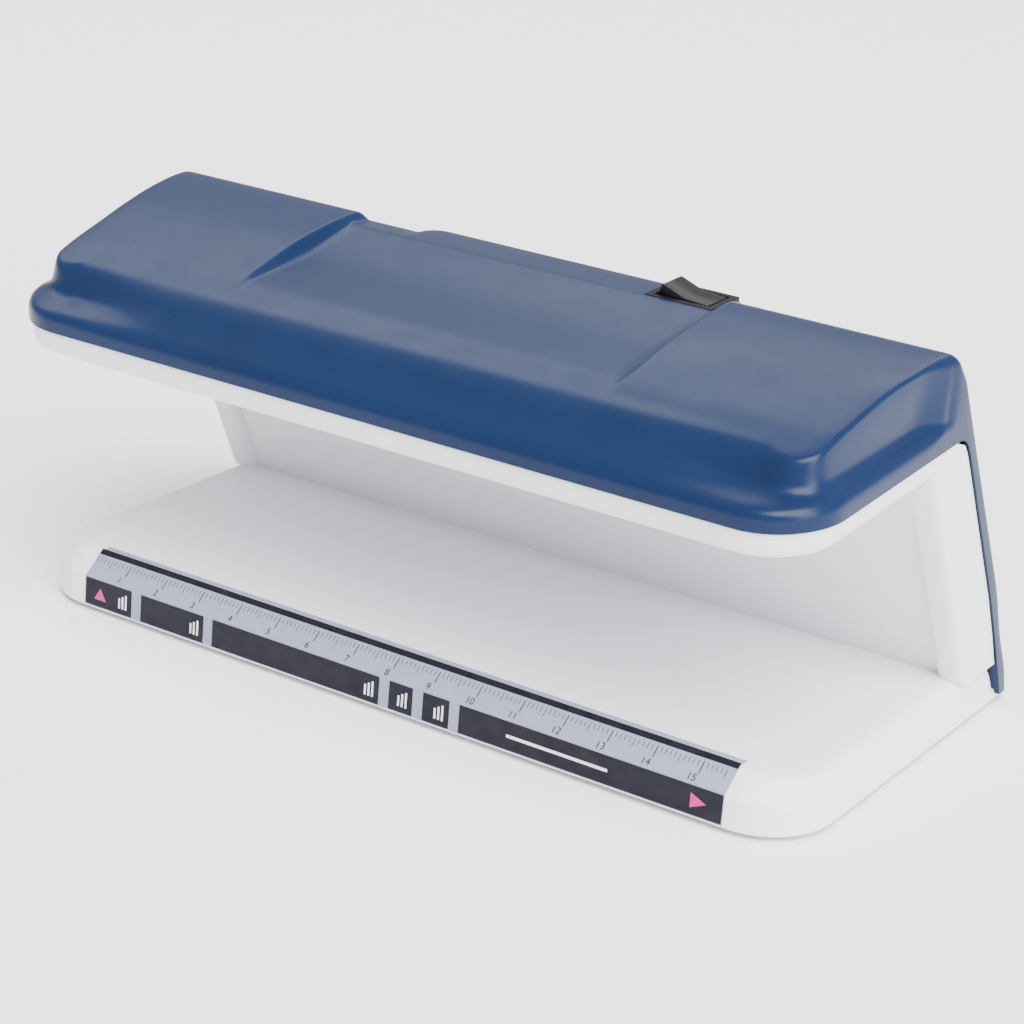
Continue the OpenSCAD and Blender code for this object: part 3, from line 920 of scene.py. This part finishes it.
@dataclass
class BaseShell(Skirt):
    """The white base: steep front face, sloping ruler facet and the note tray."""

    half: float = 93.2
    front: float = 0.0
    corner: float = 14.0
    columns: list[float] = field(default_factory=lambda: even_columns(79.2, 4.0))
    wall: float = 2.0
    tray_front: float = 10.4
    tray_back: float = 8.37

    def tray(self, y: float) -> float:
        """Returns the tray's height at y."""
        return self.tray_front + (self.tray_back - self.tray_front) * (y - 5.5) / 74

    def front_section(self, x: float) -> list[Corner]:
        """Returns the steep face and the ruler facet."""
        return [
            (0.15, 0, 0), (0.02, 0.4, 0.3), (0.5, 6.5, 0.5), (5.5, self.tray_front, 0.9),
            (14, self.tray(14), 0),
        ]

    def end_section(self, station: int, reach: float) -> list[Corner]:
        """Returns the tapering side with a soft upper edge."""
        share = min(1.0, reach / 8.0)
        return [
            (0.15, 0, 0), (0.02, 0.4 * share, 0.3), (0.7, 5.2 * share, 1.6), (1.7, reach, 2.2 * share),
            (14, reach, 0),
        ]

    def edge(self) -> list[Place]:
        """Returns the bottom edge of an end."""
        return soft_path([(14, 0, 0), (72, 0, 1), (77, 0, 1), (81.8, 0, 0)], self.turns, self.spans)

    def roof(self, x: float) -> list[Place]:
        """Returns the tray and the back."""
        return soft_path(
            [(14, self.tray(14), 0), (79.3, self.tray(79.3), 0.8), (80.9, 4.5, 1), (81.8, 0, 0)],
            self.turns, self.spans,
        )

    def build(self, finishes: Finishes) -> Piece:
        """Builds the base shell.

        Args:
            finishes: the unit's finishes.

        Returns:
            The finished shell.
        """
        skin = self.skin(FRAME.point(0, 40, 3))
        piece = walled(skin, "base_shell", finishes.white, self.wall, FRAME.base_z)
        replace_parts(piece, "base_tray")
        return seat(piece, "housing")


@dataclass
class HoodLining(Skirt):
    """The white lining: the lip under the brim, the hood's underside, the column's wall and its legs."""

    half: float = 93.8
    front: float = -6.2
    corner: float = 14.0
    columns: list[float] = field(default_factory=lambda: even_columns(79.8, 4.0))
    wall: float = 2.0
    wall_half: float = 88.0
    wall_foot: float = 67.4
    slope: float = 0.42
    window: tuple[float, float, float] = (78.4, 16.0, 38.0)
    lip_height: float = 7.2
    wall_head: float = 59.0
    leg_foot: float = 87.0
    leg_head: float = 86.0
    leg_outer: float = 93.3
    leg_rise: float = 2.0
    leg_backs: tuple[Place, ...] = (
        (8.5, 78.4), (15, 76.3), (25.4, 72.3), (55.3, 58.65), (59.0, 56.95), (60.0, 56.45), (61.7, 55.4),
        (62.9, 54.15), (63.5, 52.8), (63.7, 51.0),
    )

    def under(self, y: float) -> float:
        """Returns the height of the hood's underside at y."""
        return 56.0 + 0.04 * (y - self.front)

    def level_path(self, above: float) -> list[Place]:
        """Returns a side path that runs a given height above the hood's underside."""
        corners = [(y, self.under(y) + above, reach) for y, reach in ((7.8, 0), (28, 1), (50, 0))]
        return soft_path(corners, self.turns, self.spans)

    def wall_y(self, z: float) -> float:
        """Returns the place of the column's front wall at a height."""
        return self.wall_foot - self.slope * (z - 8.7)

    def front_section(self, x: float) -> list[Corner]:
        """Returns the lip from its hidden rim to the underside."""
        return [
            (2.5, 63.2, 0), (2.5, 61.42, 0.05), (0.55, 61.42, 0.3), (1.1, 56.6, 2.2), (4.2, 56.05, 1.6),
            (14, self.under(7.8), 0),
        ]

    def end_section(self, station: int, reach: float) -> list[Corner]:
        """Returns an end's lip, measured from its rim down to the underside."""
        return [
            (2.5, 0, 0), (2.5, 1.78, 0.05), (0.55, 1.78, 0.3), (1.1, 6.6, 2.2), (4.2, reach - 0.05, 1.6),
            (14, reach, 0),
        ]

    def edge(self) -> list[Place]:
        """Returns the path of the lip's hidden rim."""
        return self.level_path(self.lip_height)

    def roof(self, x: float) -> list[Place]:
        """Returns the underside's side path."""
        return self.level_path(0.0)

    def build_pan(self, finishes: Finishes) -> Piece:
        """Builds the hood's underside with its lip and the lamp's window.

        Args:
            finishes: the unit's finishes.

        Returns:
            The finished pan.
        """
        bm = self.skin(FRAME.point(0, 25, 70))
        half, y_front, y_back = self.window
        open_rectangle(bm, (-half, y_front, 50), (half, y_back, 65))
        return walled(bm, "hood_lining", finishes.white, self.wall)

    def build_column(self, finishes: Finishes) -> Piece:
        """Builds the column's sloping wall with its raised legs and end walls.

        Args:
            finishes: the unit's finishes.

        Returns:
            The finished column.
        """
        bm = bmesh.new()
        foot, head = 8.5, self.wall_head
        add_prism(
            bm,
            [(self.wall_y(foot), foot), (self.wall_y(head), head), (self.wall_y(head) + 2.2, head),
             (self.wall_y(foot) + 2.2, foot)],
            -self.wall_half, self.wall_half,
        )
        for side in (-1, 1):
            self.add_leg(bm, side, foot)
        bmesh.ops.remove_doubles(bm, verts=bm.verts, dist=MERGE)
        bmesh.ops.holes_fill(bm, edges=[e for e in bm.edges if e.is_boundary])
        bmesh.ops.recalc_face_normals(bm, faces=bm.faces)
        column = finish_mesh(bm, "column_front", finishes.white)
        sharpen(column, MOULDED_CREASE)
        return column

    def add_leg(self, bm: Mesh, side: int, foot: float) -> None:
        """Adds one raised end of the column, flush with the cover's edge behind it.

        Args:
            bm: mesh that takes the leg.
            side: -1 for the left end and 1 for the right.
            foot: height of its lower end.
        """
        head = self.leg_backs[-1][0]
        rows = 34
        rings = []
        for n in range(rows + 1):
            z = foot + (head - foot) * n / rows
            inner = along(((12.0, self.leg_foot), (50.6, self.leg_head), (head, self.leg_head)), z)
            ahead = self.wall_y(min(z, self.wall_head)) - self.leg_rise
            behind = along(self.leg_backs, z)
            outer = self.leg_outer
            corners = [(inner, behind, 0), (inner, ahead, 1.9), (outer, ahead, 2.2), (outer, behind, 0)]
            section = soft_path(corners, self.turns, self.spans)
            rings.append([FRAME.point(side * x, y, z) for x, y in [*section, section[0]]])
        laid_grid(bm, len(rings), len(rings[0]), lambda i, j: rings[i][j])

    def build(self, finishes: Finishes) -> list[Piece]:
        """Builds the whole lining.

        Args:
            finishes: the unit's finishes.

        Returns:
            The finished pieces.
        """
        pan = self.build_pan(finishes)
        column = self.build_column(finishes)
        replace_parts(pan, "inner_liner")
        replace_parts(column, "inner_liner")
        return [seat(pan, "housing"), seat(column, "housing")]


# ---------- label ----------


@dataclass
class ScaleLabel:
    """The folded printed film: a centimetre ruler on the facet and a dark band on the steep face."""

    half: float = 78.1
    zero_x: float = -78.7
    lift: float = 0.06
    film_t: float = 0.16
    face_low: Place = (0.02, 0.5)
    fold: Place = (0.5, 6.5)
    facet_top: Place = (5.5, 10.4)
    film_path: tuple[Corner, ...] = (
        (0.0, 0.5, 0), (0.46, 6.55, 0.45), (5.46, 10.45, 0.7), (8.0, 10.38, 0),
    )
    tick_top: float = 1.35
    tick_lengths: tuple[float, float, float] = (2.6, 1.9, 1.2)
    tick_halves: Place = (0.1, 0.065)
    number_size: float = 2.1
    number_down: float = 5.75
    number_shift: float = -0.9
    band: Place = (0.15, 6.0)
    bars_in: float = 1.5
    bar_pitch: float = 0.9
    bar_half: float = 0.22
    bar_foot: float = 1.4
    bar_tops: tuple[float, ...] = (4.6, 4.1, 3.6)
    dash: tuple[float, float, float, float] = (30.0, 53.0, 2.7, 3.3)
    triangles: tuple[tuple[Place, ...], ...] = (
        ((-75.4, 1.7), (-72.2, 1.7), (-73.8, 4.3)), ((71.2, 1.5), (74.6, 3.0), (71.2, 4.5)),
    )
    fields: tuple[Place, ...] = (
        (-77.9, -65.2), (-62.6, -45.7), (-43.3, -0.6), (1.9, 7.6), (10.1, 16.4), (18.8, 78.0),
    )

    def facet_point(self, x: float, down: float, lift: float) -> Vector:
        """Places a point on the ruler facet.

        Args:
            x: place across the unit.
            down: distance down from the facet's top edge.
            lift: height off the facet.

        Returns:
            Its frame point.
        """
        top, low = Vector(self.facet_top), Vector(self.fold)
        slope = (low - top).normalized()
        out = Vector((slope.y, -slope.x))
        at = top + slope * down + out * lift
        return FRAME.point(x, at.x, at.y)

    def face_point(self, x: float, up: float, lift: float) -> Vector:
        """Places a point on the steep face.

        Args:
            x: place across the unit.
            up: distance up from the face's lower edge.
            lift: height off the face.

        Returns:
            Its frame point.
        """
        low, top = Vector(self.face_low), Vector(self.fold)
        slope = (top - low).normalized()
        at = low + slope * up + Vector((-slope.y, slope.x)) * lift
        return FRAME.point(x, at.x, at.y)

    def patch(
        self, bm: Mesh, place: Callable[[float, float, float], Vector], outline: Sequence[Place],
        lift: float, depth: float = 0.05,
    ) -> None:
        """Adds one printed shape as a thin raised patch.

        Args:
            bm: mesh that takes the patch.
            place: facet_point or face_point.
            outline: its (x, distance) corners.
            lift: height of its top above the surface.
            depth: its thickness.
        """
        top = [bm.verts.new(place(x, d, lift)) for x, d in outline]
        low = [bm.verts.new(place(x, d, lift - depth)) for x, d in outline]
        bmesh.ops.contextual_create(bm, geom=top)
        bmesh.ops.contextual_create(bm, geom=low)
        for n in range(len(top)):
            bm.faces.new((top[n], top[(n + 1) % len(top)], low[(n + 1) % len(top)], low[n]))

    def rectangle(self, x0: float, x1: float, d0: float, d1: float) -> list[Place]:
        """Returns the corners of a rectangle on the label."""
        return [(x0, d0), (x1, d0), (x1, d1), (x0, d1)]

    def printed(self, name: str, bm: Mesh, material: Material) -> Piece:
        """Finishes a print layer and seats it.

        Args:
            name: the layer's name.
            bm: its mesh, which is freed.
            material: its ink.

        Returns:
            The finished layer.
        """
        bmesh.ops.recalc_face_normals(bm, faces=bm.faces)
        piece = finish_mesh(bm, name, material)
        sharpen(piece, PRINT_CREASE)
        return seat(piece, "housing")

    def build_film(self, finishes: Finishes) -> None:
        """Builds the folded film itself.

        Args:
            finishes: the unit's finishes.
        """
        bm = bmesh.new()
        outer = soft_path(self.film_path, 4, 1)
        strips = 40
        laid_grid(
            bm, strips + 1, len(outer),
            lambda i, j: FRAME.point(-self.half + 2 * self.half * i / strips, *outer[j]),
        )
        face_up(bm, FRAME.point(0, 8, 0))
        film = finish_mesh(bm, "label_film", finishes.film)
        film.data.shade_smooth()
        solid = film.modifiers.new("film", "SOLIDIFY")
        solid.thickness = self.film_t * MM
        solid.offset = 0.6
        settle(film)
        sharpen(film, FITTING_CREASE)
        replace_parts(film, "scale_label")
        seat(film, "housing")

    def build_ruler(self, finishes: Finishes) -> None:
        """Builds the ticks, the line along the ruler's upper edge and its numbers.

        Args:
            finishes: the unit's finishes.
        """
        lift = self.lift + self.film_t
        whole, halfway, least = self.tick_lengths
        bm = bmesh.new()
        self.patch(bm, self.facet_point, self.rectangle(-self.half, self.half, -0.55, 0.75), lift)
        for mm in range(1, 156):
            x = self.zero_x + mm
            if abs(x) > self.half - 0.3:
                continue
            length = whole if mm % 10 == 0 else halfway if mm % 5 == 0 else least
            half = self.tick_halves[1] if mm % 10 else self.tick_halves[0]
            tick = self.rectangle(x - half, x + half, self.tick_top, self.tick_top + length)
            self.patch(bm, self.facet_point, tick, lift)
        ticks = self.printed("ruler_ticks", bm, finishes.dark_ink)
        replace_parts(ticks, "scale_label")
        bm = bmesh.new()
        for number in range(1, 16):
            self.add_number(bm, number, lift)
        bmesh.ops.remove_doubles(bm, verts=bm.verts, dist=1e-7)
        self.printed("ruler_numbers", bm, finishes.dark_ink)

    def add_number(self, bm: Mesh, number: int, lift: float) -> None:
        """Adds one number of the ruler.

        Args:
            bm: mesh that takes the number.
            number: the centimetre that it counts.
            lift: its height above the facet.
        """
        curve = bpy.data.curves.new(f"number_{number}", "FONT")
        curve.body = str(number)
        curve.size = self.number_size * MM
        curve.align_x = "CENTER"
        curve.extrude = 0.02 * MM
        text = bpy.data.objects.new(f"number_{number}", curve)
        bpy.context.scene.collection.objects.link(text)
        bpy.context.view_layer.update()
        mesh = bpy.data.meshes.new_from_object(text)
        bpy.data.objects.remove(text)
        x, down = self.zero_x + 10 * number + self.number_shift, self.number_down
        here = self.facet_point(x, down, lift)
        across = (self.facet_point(x + 1, down, lift) - here).normalized()
        upward = (self.facet_point(x, down - 1, lift) - here).normalized()
        matrix = Matrix((across, upward, across.cross(upward))).transposed().to_4x4()
        matrix.translation = self.facet_point(x, down, lift - 0.02)
        mesh.transform(matrix)
        bm.from_mesh(mesh)
        bpy.data.meshes.remove(mesh)

    def build_band(self, finishes: Finishes) -> None:
        """Builds the six dark fields, their plain white marks and the two triangles.

        Args:
            finishes: the unit's finishes.
        """
        lift = self.lift + self.film_t
        bm = bmesh.new()
        for start, end in self.fields:
            self.patch(bm, self.face_point, self.rectangle(start, end, *self.band), lift)
        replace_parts(self.printed("band_fields", bm, finishes.dark_ink), "scale_label")
        bm = bmesh.new()
        above = lift + 0.05
        for _, end in self.fields[:-1]:
            for n, top in enumerate(self.bar_tops):
                x = end - self.bars_in - self.bar_pitch * n
                bar = self.rectangle(x - self.bar_half, x + self.bar_half, self.bar_foot, top)
                self.patch(bm, self.face_point, bar, above)
        self.patch(bm, self.face_point, self.rectangle(*self.dash), above)
        self.printed("band_marks", bm, finishes.white_ink)
        bm = bmesh.new()
        for triangle in self.triangles:
            self.patch(bm, self.face_point, triangle, above)
        self.printed("band_triangles", bm, finishes.magenta_ink)

    def build(self, finishes: Finishes) -> None:
        """Builds the whole label.

        Args:
            finishes: the unit's finishes.
        """
        self.build_film(finishes)
        self.build_ruler(finishes)
        self.build_band(finishes)


# ---------- small parts, lamp and wiring ----------


class SmallParts:
    """Fittings, lamp and driver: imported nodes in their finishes, with the edges that show rounded."""

    def refine(self, finishes: Finishes) -> None:
        """Replaces the fittings that show by copies with rounded edges.

        Args:
            finishes: the unit's finishes.
        """
        for node, name, body, slot, material, bevel in (
            ("switch_body", "switch_frame", "housing", "black_parts", finishes.black, 0.35),
            ("rocker", "rocker_key", "rocker", "rocker", finishes.gloss_black, 0.3),
            ("power_jack", "jack_case", "housing", "black_parts", finishes.black, 0.25),
            ("base_plate", "underside_plate", "housing", "base_plate", finishes.grey_white, 0.25),
        ):
            seat(refined_copy(node, name, material, bevel), body)

    def dress(self, finishes: Finishes) -> None:
        """Gives every carried node its finish.

        Args:
            finishes: the unit's finishes.
        """
        looks = {
            "base_screws": finishes.steel, "column_screws": finishes.steel, "liner_screws": finishes.steel,
            "holder_screws": finishes.steel, "board_screws": finishes.steel, "reflector": finishes.sheet,
            "lamp_holder_left": finishes.holder, "lamp_holder_right": finishes.holder,
            "lamp_tube": finishes.glass, "lamp_cap_left": finishes.cap, "lamp_cap_right": finishes.cap,
            "lamp_pins": finishes.brass, "circuit_board": finishes.board, "transformer": finishes.ferrite,
            "capacitors": finishes.sleeve, "transistors": finishes.black, "jack_pin": finishes.brass,
            "switch_terminals": finishes.brass, "lamp_leads": finishes.white_wire,
            "switch_leads": finishes.red_wire, "supply_leads": finishes.black, "feet": finishes.rubber,
        }
        for node, material in looks.items():
            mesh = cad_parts[node].data
            mesh.materials.clear()
            mesh.materials.append(material)
            LOG.info("%s: dressed in %s", node, material.name)


# ---------- studio ----------


@dataclass
class Studio:
    """Plain pale floor, soft lights and the camera."""

    lens_mm: float = 101.9
    sensor_mm: float = 36.0
    place_mm: tuple[float, float, float] = (308.0, -446.7, 254.6)
    azimuth: float = 34.0
    elevation: float = 21.2
    roll: float = 2.9
    floor_tilt: float = -1.509
    world_strength: float = 0.75
    sky_watts: float = 7.5
    sky_from: tuple[float, float, float] = (0.45, -0.3, 0.85)
    sky_spread: float = 50.0

    def camera(self) -> None:
        """Makes the camera and sets it as the scene's."""
        azimuth, elevation, roll = (math.radians(a) for a in (self.azimuth, self.elevation, self.roll))
        level_part = math.cos(elevation)
        back = Vector(
            (math.sin(azimuth) * level_part, -math.cos(azimuth) * level_part, math.sin(elevation))
        )
        level = Vector((math.cos(azimuth), math.sin(azimuth), 0))
        upright = back.cross(level)
        across = math.cos(roll) * level + math.sin(roll) * upright
        above = -math.sin(roll) * level + math.cos(roll) * upright
        tilt = Matrix.Rotation(math.radians(self.floor_tilt), 3, "X")
        turn = Matrix((tilt @ across, tilt @ above, tilt @ back)).transposed().to_4x4()
        data = bpy.data.cameras.new("camera")
        data.lens = self.lens_mm
        data.sensor_width = self.sensor_mm
        data.clip_start = 0.01
        data.clip_end = 20
        camera = bpy.data.objects.new("camera", data)
        camera.matrix_world = Matrix.Translation(Vector(self.place_mm) * MM) @ turn
        bpy.context.scene.collection.objects.link(camera)
        bpy.context.scene.camera = camera

    def area(
        self, name: str, place: Sequence[float], aim: Sequence[float], size: Place, watts: float
    ) -> None:
        """Adds a soft area light.

        Args:
            name: its name.
            place: where it stands, in metres.
            aim: what it faces.
            size: its width and height.
            watts: its power.
        """
        data = bpy.data.lights.new(name, "AREA")
        data.shape = "RECTANGLE"
        data.size, data.size_y = size
        data.energy = watts
        light = bpy.data.objects.new(name, data)
        light.location = place
        light.rotation_mode = "QUATERNION"
        light.rotation_quaternion = (Vector(place) - Vector(aim)).to_track_quat("Z", "Y")
        bpy.context.scene.collection.objects.link(light)

    def sky(self) -> None:
        """Adds one wide, even light that is the same all over the floor."""
        data = bpy.data.lights.new("sky_panel", "SUN")
        data.energy = self.sky_watts
        data.angle = math.radians(self.sky_spread)
        light = bpy.data.objects.new("sky_panel", data)
        light.rotation_mode = "QUATERNION"
        light.rotation_quaternion = Vector(self.sky_from).to_track_quat("Z", "Y")
        bpy.context.scene.collection.objects.link(light)

    def build(self) -> None:
        """Builds the floor, the lights, the world and the camera."""
        bm = bmesh.new()
        bmesh.ops.create_grid(bm, x_segments=1, y_segments=1, size=6.0)
        nodes = Nodes("pale_floor")
        patches = nodes.ramp(nodes.noise(2.0, 2.0), 0.0, 1.0)
        paint = nodes.tint(patches, (0.93, 0.93, 0.935), (0.925, 0.925, 0.93))
        nodes.link(paint, nodes.shader.inputs["Base Color"])
        nodes.shader.inputs["Roughness"].default_value = 0.9
        finish_mesh(bm, "floor", nodes.material)
        world = bpy.data.worlds.new("studio")
        world.use_nodes = True
        sky = world.node_tree.nodes["Background"].inputs
        sky["Color"].default_value = (0.97, 0.98, 1.0, 1)
        sky["Strength"].default_value = self.world_strength
        bpy.context.scene.world = world
        self.sky()
        self.area("back_panel", (-0.47, 0.46, 0.69), (0, 0, 0.08), (1.4, 0.3), 4.0)
        self.area("right_panel", (0.8, -0.2, 0.35), (0.05, 0, 0.05), (0.4, 0.5), 6.0)
        self.camera()


def main() -> None:
    """Builds every sub-assembly in order."""
    logging.basicConfig(level=logging.INFO, format="%(name)s %(message)s")
    finishes = Finishes()
    HoodCover().build(finishes)
    BaseShell().build(finishes)
    HoodLining().build(finishes)
    ScaleLabel().build(finishes)
    parts = SmallParts()
    parts.refine(finishes)
    parts.dress(finishes)
    Studio().build()


if __name__ == "__main__":
    main()
